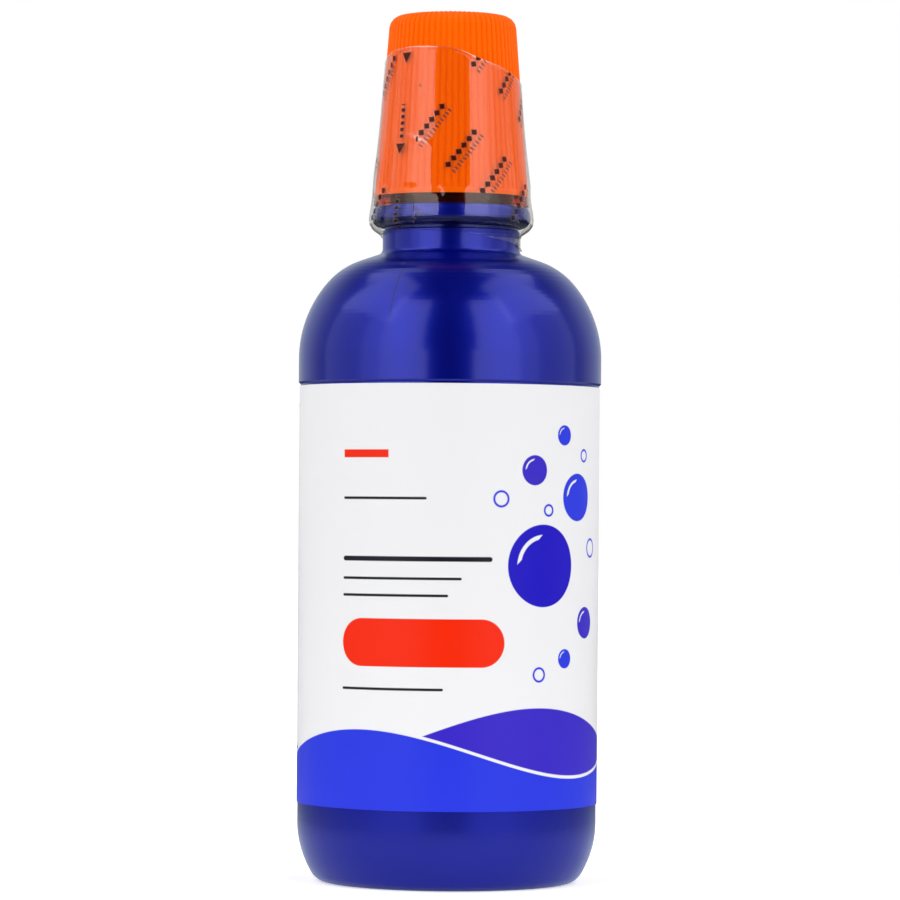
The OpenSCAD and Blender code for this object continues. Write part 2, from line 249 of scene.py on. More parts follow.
def bottle_finish():
    g = Graph("pearl_blue_plastic")
    spot = g.node("SeparateXYZ", {"Vector": g.place()})
    line = parting_line(g, spot)
    colour = g.mix(g.noise(CLOUDS, detail=3), *PEARL_BLUES)
    # Painted shade: the parting groove is drawn a darker blue.
    colour = g.mix(g.math("MULTIPLY", line, PARTING_SHADE_SHARE), colour, PARTING_SHADE_BLUE)
    # Painted shade: the underside of the collar is drawn a darker blue.
    colour = g.mix(g.math("MULTIPLY", collar_shade(g, spot), COLLAR_SHADE_SHARE), colour, COLLAR_SHADE_BLUE)
    specks = g.ramp(g.noise(SPECKS, detail=1), 0.74, 0.8)
    grain = g.math("ADD", g.noise(PEARL_GRAIN), g.math("MULTIPLY", specks, SPECK_HEIGHT))
    height = g.math("SUBTRACT", grain, g.math("MULTIPLY", line, PARTING_DEPTH))
    streaks = g.ramp(g.noise(STREAKS, (1, 1, 0.08)), 0.3, 0.7, 0.29, 0.34)
    return g.finish(
        Base_Color=colour,
        Metallic=0.62,
        Roughness=streaks,
        Specular_IOR_Level=0.4,
        Specular_Tint=(0.3, 0.55, 0.8),
        Coat_Weight=0.43,
        Coat_Roughness=0.15,
        Normal=g.bump(height, 0.00001, 0.5),
    )


dress("bottle", bottle_finish())

# %% [markdown]
# The label
#
# The label is a printed film wrapped round the body. To print on it, the skin is unrolled in
# thought: the turn about the axis times the radius gives u, the distance from the front line,
# and the height above the label's foot gives v, both in millimetres. Each printed form is a
# distance to an outline in u and v, and where that distance is negative there is ink. An
# image could be wrapped on instead, but distances stay crisp at any size and need no file.

# %% Unrolled skin
INK_EDGE = 0.09
GLINT_RADIUS_SHARE = 0.7
GLINT_WIDTH_SHARE = 0.1
GLINT_CUT_SHARE = 0.78


class Skin(Graph):
    """A graph whose patterns are drawn in millimetres on an unrolled round skin."""

    def __init__(self, name, radius, foot):
        super().__init__(name)
        spot = self.node("SeparateXYZ", {"Vector": self.place()})
        back = self.math("MULTIPLY", spot.outputs["Y"], -1)
        turn = self.math("ARCTAN2", spot.outputs["X"], back)
        self.wave_length = pi * radius / MM
        self.u = self.math("MULTIPLY", turn, radius / MM)
        self.v = self.math("MULTIPLY_ADD", spot.outputs["Z"], 1 / MM, -foot / MM)

    def off(self, u, v):
        """Offsets from the point u, v."""
        return self.math("SUBTRACT", self.u, u), self.math("SUBTRACT", self.v, v)

    def disc(self, u, v, radius):
        return self.math("SUBTRACT", self.length(*self.off(u, v)), radius)

    def ring(self, u, v, radius, width):
        return self.math("SUBTRACT", self.math("ABSOLUTE", self.disc(u, v, radius)), width / 2)

    def bar(self, u, v, half_width, half_height, corner=0.0):
        """A rectangle, or a pill where corner is its half height."""
        du, dv = self.off(u, v)
        du = self.math("SUBTRACT", self.math("ABSOLUTE", du), half_width - corner)
        dv = self.math("SUBTRACT", self.math("ABSOLUTE", dv), half_height - corner)
        outside = self.length(self.math("MAXIMUM", du, 0), self.math("MAXIMUM", dv, 0))
        inside = self.math("MINIMUM", self.math("MAXIMUM", du, dv), 0)
        return self.math("SUBTRACT", self.math("ADD", outside, inside), corner)

    def under_wave(self, height, swing, shift):
        """What lies below a wave that runs twice round the skin."""
        turn = self.math("MULTIPLY_ADD", self.u, 2 * pi / self.wave_length, shift)
        crest = self.math("MULTIPLY_ADD", self.math("SINE", turn), swing, height)
        return self.math("SUBTRACT", self.v, crest)

    def glint(self, u, v, radius):
        """The curved light on the upper left side of a bubble."""
        du, dv = self.off(u, v)
        arc = self.ring(u, v, radius * GLINT_RADIUS_SHARE, radius * GLINT_WIDTH_SHARE)
        cut = self.math("SUBTRACT", radius * GLINT_CUT_SHARE, self.math("SUBTRACT", dv, du))
        return self.math("MAXIMUM", arc, cut)

    def ink(self, distance):
        """The share of ink where distance to an outline is below zero, with a crisp edge."""
        return self.ramp(distance, -INK_EDGE, INK_EDGE, 1, 0, "LINEAR")


print("the label unrolls to", round(2 * pi * label_high.x / MM), "mm")

# %% [markdown]
# The print is a generic one. Two waves in royal blue and violet run round the foot of the
# label, and bubbles in the same blues rise from them on the right. An orange bar and pill and
# thin dark rules fill the left of the front, and the back has plain ruled panels. The forms
# are mixed over each other like the passes of a press, the white film first.

# %% Label print
WHITE_INK = srgb(227, 227, 229)
ROYAL_INK = srgb(37, 53, 211)
VIOLET_INK = srgb(54, 37, 186)
NAVY_INK = srgb(26, 10, 182)
ORANGE_INK = srgb(232, 38, 2)
DARK_INK = srgb(24, 24, 34)
WAVES = (
    # height of the middle, swing, shift: royal, then violet
    (12.4, 5.6, 2.75), (16.6, 6.4, 0.35),
)
WAVE_RIM = 0.7
OUTLINE_WIDTH = 0.5
ORANGE_BARS = (
    # u and v of the middle, half the width, half the height, corner
    (-20.0, 80.0, 6.0, 0.9, 0.0), (-6.5, 37.6, 19.5, 5.4, 5.4),
)
BUBBLES = (
    # u, v, radius, ink
    (23.0, 55.0, 9.3, NAVY_INK), (34.5, 70.5, 5.4, ROYAL_INK), (20.5, 76.5, 3.4, VIOLET_INK),
    (38.5, 42.0, 3.6, VIOLET_INK), (29.5, 84.5, 2.3, ROYAL_INK), (30.0, 34.0, 2.2, ROYAL_INK),
)
OUTLINED_BUBBLES = (
    # u, v, radius
    (12.0, 70.0, 1.7), (24.5, 67.5, 1.2), (41.5, 59.0, 2.0), (37.5, 80.0, 1.3), (22.0, 30.5, 1.5),
)
RULES = (
    # u of the middle, v, half its width, half its height
    (-15.5, 70.0, 10.5, 0.3), (-8.0, 56.4, 18.0, 0.55), (-11.5, 52.0, 14.5, 0.3), (-13.0, 48.2, 13.0, 0.3),
    (-13.5, 27.2, 12.5, 0.3),
)


def label_print():
    g = Skin("printed_label_film", label_high.x, label_low.z)
    royal_wave, violet_wave = [g.under_wave(*wave) for wave in WAVES]
    layers = [
        (violet_wave, VIOLET_INK),
        (g.math("SUBTRACT", royal_wave, WAVE_RIM), WHITE_INK),
        (royal_wave, ROYAL_INK),
    ]
    for u, v, radius, ink in BUBBLES:
        layers += [(g.disc(u, v, radius), ink), (g.glint(u, v, radius), WHITE_INK)]
    layers += [(g.ring(*bubble, OUTLINE_WIDTH), ROYAL_INK) for bubble in OUTLINED_BUBBLES]
    layers += [(g.bar(*facts), ORANGE_INK) for facts in ORANGE_BARS]
    layers += [(g.bar(u, v, width, height, height), DARK_INK) for u, v, width, height in RULES]
    colour = WHITE_INK
    for distance, ink in layers:
        colour = g.mix(g.ink(distance), colour, ink)
    return g, colour


print_graph, print_colour = label_print()
print("label print has", len(print_graph.tree.nodes), "nodes")

# %% Ruled panels of the back
PANELS = (
    # u of the middle, half its width
    (-78.0, 26.5), (80.0, 24.0),
)
PANEL_FOOT = 25.5
PANEL_HEAD = 91.5
PANEL_LINE = 0.32
PANEL_MARGIN = 2
ROW_PITCH = 5.1


def add_panels(g, colour):
    """Two framed panels with thin rows, one on each side of the seam at the back."""
    middle = (PANEL_FOOT + PANEL_HEAD) / 2
    half_height = (PANEL_HEAD - PANEL_FOOT) / 2
    row = g.math("MODULO", g.math("SUBTRACT", g.v, PANEL_FOOT), ROW_PITCH)
    row = g.math("SUBTRACT", g.math("ABSOLUTE", g.math("SUBTRACT", row, ROW_PITCH / 2)), PANEL_LINE / 2)
    for u, half_width in PANELS:
        inner = g.bar(u, middle, half_width, half_height)
        frame_line = g.math("SUBTRACT", g.math("ABSOLUTE", inner), PANEL_LINE)
        rows = g.math("MAXIMUM", row, g.math("ADD", inner, PANEL_MARGIN))
        for distance in (frame_line, rows):
            colour = g.mix(g.ink(distance), colour, DARK_INK)
    return colour


def label_finish(g, colour):
    waviness = g.noise(22, (1, 1, 0.5), detail=1)
    grain = g.math("ADD", waviness, g.math("MULTIPLY", g.noise(3000), 0.03))
    return g.finish(
        Base_Color=colour,
        Roughness=g.ramp(g.noise(60), 0.3, 0.7, 0.3, 0.37),
        Specular_IOR_Level=0.12,
        Normal=g.bump(grain, 0.0001, 0.35),
    )


dress("label", label_finish(print_graph, add_panels(print_graph, print_colour)))

# %% [markdown]
# The dosing cap and the sealing ring
#
# The cap is moulded in saturated orange. Its finish is satin, with the faintest grain, and a
# little light travels under the surface, as in all thick plastic. That light would wash out
# the ribs, which are only a few tenths of a millimetre deep, so the shade in the valleys
# between them is painted into the colour as a slightly redder orange. The thin skirt below
# the thread lets light through: in front of the neck it looks dark, and at the sides, where
# there is only the room behind it, deep red.
# Transmission with a deep red base does both. The ring inside is a white closed-cell foam
# washer, and it has small pores, painted a little darker inside as shade.

# %% Cap and ring
SKIRT_TOP = cap_low.z + 2.2 * MM
SKIRT_FADE = 0.1 * MM
RIB_COUNT = 68
RIB_FOOT = cap_low.z + 3.6 * MM
RIB_INNER_R = 12.6 * MM
CAP_ORANGES = (srgb(252, 98, 1), srgb(252, 101, 2))
# The painted shade in the valleys between the ribs, a redder orange.
VALLEY_SHADE_ORANGE = srgb(240, 76, 0)
VALLEY_SHADE_SHARE = 0.55
SKIRT_RED = (0.66, 0.13, 0.05)
FOAM_WHITES = (srgb(214, 214, 206), srgb(240, 240, 234))


def rib_valleys(g, spot):
    """1 in the narrow valleys between the ribs on the outside of the cap, where shade is painted into the
    colour, and 0 elsewhere.
    """
    turn = g.math("ARCTAN2", spot.outputs["Y"], spot.outputs["X"])
    wave = g.math("ABSOLUTE", g.math("SINE", g.math("MULTIPLY", turn, RIB_COUNT / 2)))
    outside = g.math("GREATER_THAN", g.length(spot.outputs["X"], spot.outputs["Y"]), RIB_INNER_R)
    above = g.math("GREATER_THAN", spot.outputs["Z"], RIB_FOOT)
    return g.math("MULTIPLY", g.ramp(wave, 0, 0.8, 1, 0), g.math("MULTIPLY", outside, above))


def cap_finish():
    g = Graph("orange_moulded_plastic")
    spot = g.node("SeparateXYZ", {"Vector": g.place()})
    skirt = g.ramp(spot.outputs["Z"], SKIRT_TOP - SKIRT_FADE, SKIRT_TOP + SKIRT_FADE, 1, 0)
    colour = g.mix(g.noise(55, detail=3), *CAP_ORANGES)
    valleys = g.math("MULTIPLY", rib_valleys(g, spot), VALLEY_SHADE_SHARE)
    # Painted shade: the valleys between the ribs are drawn a redder orange.
    colour = g.mix(valleys, colour, VALLEY_SHADE_ORANGE)
    satin = g.ramp(g.noise(240), 0.3, 0.7, 0.42, 0.5)
    return g.finish(
        Base_Color=g.mix(skirt, colour, SKIRT_RED),
        Roughness=g.math("MINIMUM", satin, g.ramp(skirt, 0, 1, 0.6, 0.12)),
        IOR=1.2,
        Specular_Tint=(1.0, 0.4, 0.1),
        Transmission_Weight=skirt,
        Subsurface_Weight=0.06,
        Subsurface_Radius=(1.0, 0.35, 0.1),
        Subsurface_Scale=0.0012,
        Normal=g.bump(g.noise(3200), 0.000008, 0.4),
    )


def ring_finish():
    g = Graph("white_foam")
    pores = g.node("TexVoronoi", {"Vector": g.place(), "Scale": 3500}).outputs["Distance"]
    # Painted shade: the foam is drawn darker towards the middle of each pore.
    shade = g.ramp(pores, 0.1, 0.6)
    return g.finish(
        Base_Color=g.mix(shade, *FOAM_WHITES),
        Roughness=0.85,
        Normal=g.bump(pores, 0.00006),
    )


dress("dosing_cap", cap_finish())
dress("sealing_ring", ring_finish())

# %% [markdown]
# The shrink film
#
# A sleeve of clear film is slipped over the cap and shrunk on with hot air. It hugs the cone
# of the cap, swells over the rim and the collar, and gathers under the collar in a small
# wrinkled hem. A cloth simulation could shrink it on, but film this stiff keeps few creases,
# and each of them shows in its place in the photograph. So the sleeve is drawn up ring by ring
# from a circle at the hem, and then every point is moved a little, as a sculptor would. First
# comes its profile, and the radius of what is inside, which it mustn't cut. All sizes of the
# film are in millimetres.

# %% Film profile
FILM_SIDES = 400
FILM_THICKNESS = 0.09
FILM_CLEARANCE = 0.04
CAP_DRAFT = radians(4.45)
RIB_INSET = 0.05
NECK_R = 15.85
BEAD_R = 18.35
BEAD_FOOT = 150.93
BEAD_WIDE = 153.13
BEAD_UNDER_R = 2.2
BEAD_CROWN_R = 5.0
RIM = cap_low.z / MM
RIM_R = cap_high.x / MM
SLEEVE = (
    (145.6, 16.5), (146.6, 16.1), (148.4, 16.05), (149.2, 16.35), (149.7, 17.1), (150.2, 17.85),
    (150.8, 18.45), (151.6, 18.95), (152.8, 19.12), (154.4, 18.95), (156.2, 18.62), (158.6, 18.28),
    (161.5, 18.05), (166.0, 17.57),
)
SLEEVE_TOP = 193.2
SLACK = 0.13
RIM_SLACK = 0.25
RIM_SLACK_REACH = 6


def cap_radius(z):
    """Radius over the cap's ribs at height z. They stand a little inside the rim's cone."""
    return RIM_R - RIB_INSET - (z - RIM) * tan(CAP_DRAFT)


def hard_radius(z):
    """Radius of what is inside the film at height z."""
    if z >= RIM:
        return cap_radius(z) + RIB_INSET
    if z <= BEAD_FOOT:
        return NECK_R
    curve_r = BEAD_CROWN_R if z > BEAD_WIDE else BEAD_UNDER_R
    return BEAD_R - curve_r + sqrt(curve_r ** 2 - (z - BEAD_WIDE) ** 2)


def sleeve_radius(z):
    """Radius of the smooth sleeve at height z: straight between the profile's points, then along the cap."""
    if z >= SLEEVE[-1][0]:
        return cap_radius(z) + SLACK + RIM_SLACK * exp(-(z - SLEEVE[-1][0]) / RIM_SLACK_REACH)
    for (z0, r0), (z1, r1) in zip(SLEEVE, SLEEVE[1:]):
        if z <= z1:
            break
    return r0 + (r1 - r0) * max(0, (z - z0) / (z1 - z0))


print("film swells from", round(sleeve_radius(180), 2), "to", sleeve_radius(152.8), "mm")

# %% [markdown]
# Where the film ends
#
# The film was cut from its roll on a slant, so its upper edge is highest on the left of the
# front and lowest behind on the right, with two dips where it shrank further. The hem below
# ends higher at the front than on the right and behind. A boolean cut could make both edges,
# but it would leave ragged faces, so the rings themselves are bent to them. Each edge is a
# height that depends on the turn round the axis, with a bell curve for each dip. A bell curve
# is 1 in its middle and fades to 0 on both sides.

# %% Film edges
SLANT = radians(18.8)
SLANT_TURN = radians(-118)
EDGE_AXIS_HEIGHT = 186.5
EDGE_DIPS = (
    # middle and half width in degrees of turn, depth
    (28, 18, 0.75), (57, 20, 1.0),
)
EDGE_WAVE = 0.12
EDGE_WAVE_SHIFT = 1.9
WAVE_COUNT = 7
HEM_FOOT = 145.9
HEM_MIDDLE = 147.2
HEM_SWING = 2.6
HEM_TURN = radians(35)
HEM_WAVE = 0.15


def bell(x, width):
    return exp(-(x / width) ** 2)


def upper_edge(turn):
    """Height of the film's cut edge, which slants, dips twice and waves a little. Turn 0 is the front."""
    around = turn - pi / 2
    slope = tan(SLANT) * sleeve_radius(188) * cos(around - SLANT_TURN)
    waves = EDGE_WAVE * sin(WAVE_COUNT * turn + EDGE_WAVE_SHIFT)
    for middle, width, depth in EDGE_DIPS:
        waves -= depth * bell(degrees(turn) - middle, width)
    return min(EDGE_AXIS_HEIGHT + slope, SLEEVE_TOP) + waves


def lower_edge(turn):
    """Height of the gathered hem: highest at the front, lowest on the right and behind."""
    edge = max(HEM_FOOT, HEM_MIDDLE + HEM_SWING * cos(turn + HEM_TURN))
    return edge + HEM_WAVE * sin(WAVE_COUNT * turn)


print("upper edge at the front", round(upper_edge(0), 1), "and at the back", round(upper_edge(pi), 1))

# %% [markdown]
# How the film is creased
#
# Two sharp folds are left from the flat tube that the film was cut from. It is drawn taut and
# a little flat across the front, which is why the dark stripe that it mirrors there is wide.
# On the left it has a dent with a sharp upper line and a bulge below. Fine wrinkles lie over
# the cap's rim and in the hem, and the cut edge curls out. Each of these is one term of a sum
# in millimetres. Film turns pale where it is cut or bent sharply, so the same lines also
# give a second value, which its finish uses.

# %% Sizes of the creases
FOLD_TURNS = (radians(-62), radians(118))
FOLD_LIFT = 0.42
FOLD_WIDTH = 0.4
FOLD_LEAST = 0.35
FOLD_HEIGHT = 158
FOLD_REACH = 12
RIM_HEIGHT = 158.5
RIM_REACH = 4
GATHER_HEIGHT = 149.2
GATHER_REACH = 1.8
RIBS_FOOT = 157
RIBS_RAMP = 4
TAUT_LIFT = 0.5
TAUT_HALF_ANGLE = 19
TAUT_REACH = 75
DENT_HEIGHT = 170.5
DENT_ANGLE = -27
DENT_HALF_ANGLE = 12
DENT_SLOPE = 0.13
DENT_WIDTH = 0.5
DENT_LIFT = 0.34
BULGE_ANGLE = -33
BULGE_SLOPE = 0.05
BULGE_RAMP = 0.35
BULGE_LIFT = 0.42
CURL_LIFT = 0.1
CURL_WIDTH = 0.35
LIP_WIDTH = 0.2
PALE_DENT = 0.6
PALE_DENT_WIDTH = 0.45
PALE_FOLD = 0.5
PALE_FOLD_WIDTH = 0.2
PALE_FOLD_HEIGHT = 156
# How fine each is round the film and up it, and how far it lifts the film.
SLOW_WAVES = (1.6, 0.09, 0.06)
RIM_WRINKLES = (7.0, 0.32, 0.16)
HEM_WRINKLES = (16.0, 0.1, 0.22)

print("folds at", [round(degrees(turn)) for turn in FOLD_TURNS], "degrees, dent at", DENT_ANGLE)


# %% Folds, dent and wrinkles
def fold_line(turn, width):
    """1 along the two folds where the film lay flat on its roll, and 0 beside them."""
    offs = [(turn - fold + pi) % (2 * pi) - pi for fold in FOLD_TURNS]
    return max(bell(off * NECK_R, width) for off in offs)


def dent_line(side, z, width):
    """1 along the sharp dent on the left of the front, and 0 away from it."""
    aside = side - DENT_ANGLE
    return bell(z - DENT_HEIGHT + aside * DENT_SLOPE, width) * bell(aside, DENT_HALF_ANGLE)


def wrinkle(turn, z, fine_round, fine_up, lift):
    """One size of smooth noise at a point of the film, in millimetres."""
    spot = Vector((cos(turn), sin(turn), 0)) * fine_round
    return lift * noise.noise(spot + Vector((0, 0, z * fine_up)))


def wrinkles(turn, z):
    """Three sizes of noise: over the whole film, at the cap's rim and in the gathered hem."""
    at_rim = wrinkle(turn, z, *RIM_WRINKLES) * bell(z - RIM_HEIGHT, RIM_REACH)
    in_hem = wrinkle(turn, z, *HEM_WRINKLES) * bell(z - GATHER_HEIGHT, GATHER_REACH)
    return wrinkle(turn, z, *SLOW_WAVES) + at_rim + in_hem


print("wrinkles lift the hem by up to", HEM_WRINKLES[2], "mm")


# %% Film creases
def crease_height(turn, z):
    """How far the creases lift or dent the film at a point, in millimetres."""
    side = degrees(turn)
    over_ribs = min(1, max(0, (z - RIBS_FOOT) / RIBS_RAMP))
    foot_of_dent = DENT_HEIGHT + (side - DENT_ANGLE) * BULGE_SLOPE
    below_dent = over_ribs / (1 + exp((z - foot_of_dent) / BULGE_RAMP))
    fold_share = FOLD_LEAST + (1 - FOLD_LEAST) * bell(z - FOLD_HEIGHT, FOLD_REACH)
    lift = wrinkles(turn, z)
    lift += FOLD_LIFT * fold_line(turn, FOLD_WIDTH) * fold_share
    lift += TAUT_LIFT * over_ribs * (1 - bell(side, TAUT_HALF_ANGLE)) * bell(side, TAUT_REACH)
    lift += BULGE_LIFT * below_dent * bell(side - BULGE_ANGLE, DENT_HALF_ANGLE)
    lift += DENT_LIFT * dent_line(side, z, DENT_WIDTH)
    lift += CURL_LIFT * bell(upper_edge(turn) - z, CURL_WIDTH)
    return lift


def pale_line(turn, z):
    """How pale the film is from 0 to 1: most on its cut edge, less where it is sharply creased."""
    edge = bell(upper_edge(turn) - z, LIP_WIDTH)
    dent = dent_line(degrees(turn), z, PALE_DENT_WIDTH)
    fold = fold_line(turn, PALE_FOLD_WIDTH) * bell(z - PALE_FOLD_HEIGHT, FOLD_REACH)
    return max(edge, PALE_DENT * dent, PALE_FOLD * fold)


print("the dent's bulge stands out", round(crease_height(radians(BULGE_ANGLE), 165), 2), "mm")

# %% [markdown]
# The film's mesh
#
# A circle of 400 sides is extruded ring by ring. The rings are closest over the hem and just
# below the cut edge, where the creases are finest. Then each point is moved along its radius
# by the crease height, and up or down so that the end rings lie on the cut edges. The real
# film is too thin to measure in a picture. A solidify modifier gives it a thin wall, so that
# its edges catch light as a sheet's do, and applying it leaves plain geometry.

# %% Film mesh
RING_STEP = 0.7
HEM_STEP = 0.35
HEM_TOP = 153.0
LIP_RING_SHARES = (1.0, 0.6, 0.3, 0.0)


def ring_heights():
    """Heights of the rings: close together over the hem and below the cut edge, wider apart between."""
    heights = [SLEEVE[0][0]]
    while heights[-1] < SLEEVE_TOP - 2 * RING_STEP:
        heights.append(heights[-1] + (HEM_STEP if heights[-1] < HEM_TOP else RING_STEP))
    return heights + [SLEEVE_TOP - share * RING_STEP for share in LIP_RING_SHARES]


def draw_sleeve():
    """An open sleeve from the hem to the top, with a ring of points at each height."""
    heights = ring_heights()
    bpy.ops.object.select_all(action="DESELECT")
    radius = sleeve_radius(heights[0])
    bpy.ops.mesh.primitive_circle_add(
        vertices=FILM_SIDES, radius=radius * MM, location=(0, 0, heights[0] * MM)
    )
    film = bpy.context.object
    film.name = "shrink_film"
    bpy.ops.object.mode_set(mode="EDIT")
    bpy.ops.mesh.select_all(action="SELECT")
    for low, high in zip(heights, heights[1:]):
        bpy.ops.mesh.extrude_region_move(TRANSFORM_OT_translate={"value": (0, 0, (high - low) * MM)})
        grow = sleeve_radius(high) / sleeve_radius(low)
        bpy.ops.transform.resize(value=(grow, grow, 1), center_override=(0, 0, high * MM))
    bpy.ops.object.mode_set(mode="OBJECT")
    bpy.ops.object.transform_apply(location=True, rotation=True, scale=True)
    print("sleeve has", len(film.data.vertices), "points in", len(heights), "rings")
    return film


def crease_sleeve(film):
    """Stretches the rings to the cut edges and moves every point along its radius for the creases.
    The attribute lip is 1 on the upper cut edge and less along the creases."""
    foot, head = SLEEVE[0][0], SLEEVE_TOP
    lip = film.data.attributes.new("lip", "FLOAT", "POINT")
    for index, point in enumerate(film.data.vertices):
        x, y, z = point.co / MM
        turn = atan2(x, -y)
        edge, end = (upper_edge(turn), head) if z > BEAD_WIDE else (lower_edge(turn), foot)
        z = BEAD_WIDE + (z - BEAD_WIDE) * (edge - BEAD_WIDE) / (end - BEAD_WIDE)
        radius = sleeve_radius(z) + crease_height(turn, z)
        radius = max(radius, hard_radius(z) + FILM_THICKNESS + FILM_CLEARANCE)
        lip.data[index].value = pale_line(turn, z)
        point.co = (radius * sin(turn) * MM, -radius * cos(turn) * MM, z * MM)


film = draw_sleeve()
crease_sleeve(film)

# %% Film wall
def give_wall(film):
    """Recalculates the normals, then gives the film its thickness inwards."""
    bpy.ops.object.mode_set(mode="EDIT")
    bpy.ops.mesh.select_all(action="SELECT")
    bpy.ops.mesh.normals_make_consistent(inside=False)
    bpy.ops.object.mode_set(mode="OBJECT")
    wall = film.modifiers.new("wall", "SOLIDIFY")
    wall.thickness = FILM_THICKNESS * MM
    wall.offset = -1
    bpy.ops.object.modifier_apply(modifier="wall")
    bpy.ops.object.shade_smooth()
    print("film has", len(film.data.polygons), "faces with its wall")


give_wall(film)
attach(film, "band")
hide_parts("seal_band")

# %% [markdown]
# The finish of the film
#
# Clear film lets most light pass straight through. It mirrors a little, more where it is seen
# at a slant, and its two layers of plastic and print varnish keep some. A glass shader would
# bend the light twice in a wall far thicker than the real film, and slowly. So the shader is
# a dim grey mirror that is mostly see-through: alpha is a twentieth head on and nearly all at
# a slant. The printed marks are almost opaque: a tear line with arrowheads and slanted rows
# of small lozenges over ticks. They repeat, so modulo folds the skin into one pitch, and one
# mark is drawn there.

# %% Tear line
FILM_PRINT_R = 17.0
TEAR_U = -12.4
TEAR_PITCH = 21.0
TEAR_SHIFT = 19.2
ARROW_TIP = -1.2
ARROW_HEAD = 1.3
ARROW_SLOPE = 0.6
DASH_HALF_PITCH = 0.75
DASH_HALF_LENGTH = 0.42
DASH_HALF_WIDTH = 0.55
DASHES_MIDDLE = 6.3
DASHES_REACH = 4.1


def beyond(g, value, middle, reach):
    """How far value lies outside middle plus or minus reach. It is negative inside."""
    aside = g.math("ABSOLUTE", g.math("SUBTRACT", value, middle))
    return g.math("SUBTRACT", aside, reach)


def tear_line(g):
    """Distance to a line of dashes down the film, with an arrowhead at every pitch."""
    step = g.math("FLOORED_MODULO", g.math("ADD", g.v, TEAR_SHIFT), TEAR_PITCH)
    rise = g.math("SUBTRACT", step, TEAR_PITCH / 2)
    widening = g.math("MULTIPLY", g.math("SUBTRACT", rise, ARROW_TIP), ARROW_SLOPE)
    side = g.math("SUBTRACT", beyond(g, g.u, TEAR_U, 0), widening)
    arrow = g.math("MAXIMUM", side, g.math("SUBTRACT", rise, ARROW_HEAD))
    dash = g.math("SUBTRACT", g.math("PINGPONG", rise, DASH_HALF_PITCH), DASH_HALF_LENGTH)
    dash = g.math("MAXIMUM", dash, beyond(g, g.u, TEAR_U, DASH_HALF_WIDTH))
    dash = g.math("MAXIMUM", dash, beyond(g, rise, DASHES_MIDDLE, DASHES_REACH))
    return g.math("MINIMUM", arrow, dash)


print("tear line", round(degrees(TEAR_U / FILM_PRINT_R)), "degrees from the front")

# %% Slanted marks
MARK_PITCH = 22.0
MARK_HALF_LENGTH = 5.7
MARK_SLANT = radians(52)
ROW_SPACING = 9.5
LOZENGE_PITCH = 1.9
LOZENGE_REACH = 0.86
LOZENGE_RISE = 1.1
TICK_PITCH = 0.95
TICK_HALF_WIDTH = 0.14
TICK_HALF_HEIGHT = 0.5
TICK_RISE = -0.8
TEAR_CLEARANCE = 4.2


def folded(g, value, pitch):
    """Value folded into one pitch and measured from its middle."""
    return g.math("SUBTRACT", g.math("FLOORED_MODULO", value, pitch), pitch / 2)


def slanted_marks(g):
    """Distance to rows of lozenges over short ticks, repeated round the film on a slant."""
    along_u = g.math("MULTIPLY", g.u, cos(MARK_SLANT))
    along_v = g.math("MULTIPLY", g.v, sin(MARK_SLANT))
    across_u = g.math("MULTIPLY", g.u, sin(MARK_SLANT))
    across_v = g.math("MULTIPLY", g.v, cos(MARK_SLANT))
    along = folded(g, g.math("ADD", along_u, along_v), MARK_PITCH)
    across = folded(g, g.math("SUBTRACT", across_v, across_u), ROW_SPACING)
    near = beyond(g, folded(g, along, LOZENGE_PITCH), 0, 0)
    lozenge = g.math("ADD", near, beyond(g, across, LOZENGE_RISE, LOZENGE_REACH))
    near = beyond(g, folded(g, along, TICK_PITCH), 0, TICK_HALF_WIDTH)
    tick = g.math("MAXIMUM", near, beyond(g, across, TICK_RISE, TICK_HALF_HEIGHT))
    mark = g.math("MAXIMUM", g.math("MINIMUM", lozenge, tick), beyond(g, along, 0, MARK_HALF_LENGTH))
    near_tear = g.math("MULTIPLY", beyond(g, g.u, TEAR_U, TEAR_CLEARANCE), -1)
    return g.math("MAXIMUM", mark, near_tear)


print("marks", 2 * MARK_HALF_LENGTH, "mm long, rows", ROW_SPACING, "mm apart")

# %% Film finish
HEAD_ON = 0.045
SLANT_POWER = 5
FILM_GREY = (0.5, 0.49, 0.46)
LIP_WHITE = (1, 1, 1)
LIP_COVER = 0.3
FILM_INK = srgb(48, 8, 4)
INK_COVER = 0.72
# How many ripples there are in a metre, and how much lower the fine ones are.
RIPPLES = 90
FINE_RIPPLES = 420
FINE_SHARE = 0.12


def film_finish():
    g = Skin("clear_shrink_film", FILM_PRINT_R * MM, cap_low.z)
    ink = g.ink(g.math("MINIMUM", tear_line(g), slanted_marks(g)))
    lip = g.node("Attribute", attribute_name="lip").outputs["Fac"]
    slant = g.node("LayerWeight", {"Blend": 0.5}).outputs["Facing"]
    mirror = g.math("MULTIPLY_ADD", g.math("POWER", slant, SLANT_POWER), 1 - HEAD_ON, HEAD_ON)
    cover = g.math("MAXIMUM", g.math("MULTIPLY", ink, INK_COVER), g.math("MULTIPLY", lip, LIP_COVER))
    fine = g.math("MULTIPLY", g.noise(FINE_RIPPLES), FINE_SHARE)
    ripple = g.math("ADD", g.noise(RIPPLES, (1, 1, 0.35)), fine)
    clear = g.mix(lip, FILM_GREY, LIP_WHITE)
    return g.finish(
        Base_Color=g.mix(ink, clear, FILM_INK),
        Metallic=g.math("SUBTRACT", 1, ink),
        Roughness=g.ramp(ink, 0, 1, 0.06, 0.25),
        Specular_IOR_Level=0.15,
        Alpha=g.math("MAXIMUM", mirror, cover),
        Normal=g.bump(ripple, 0.0001, 0.3),
    )


film.data.materials.append(film_finish())
print("film wears", film.data.materials[0].name)

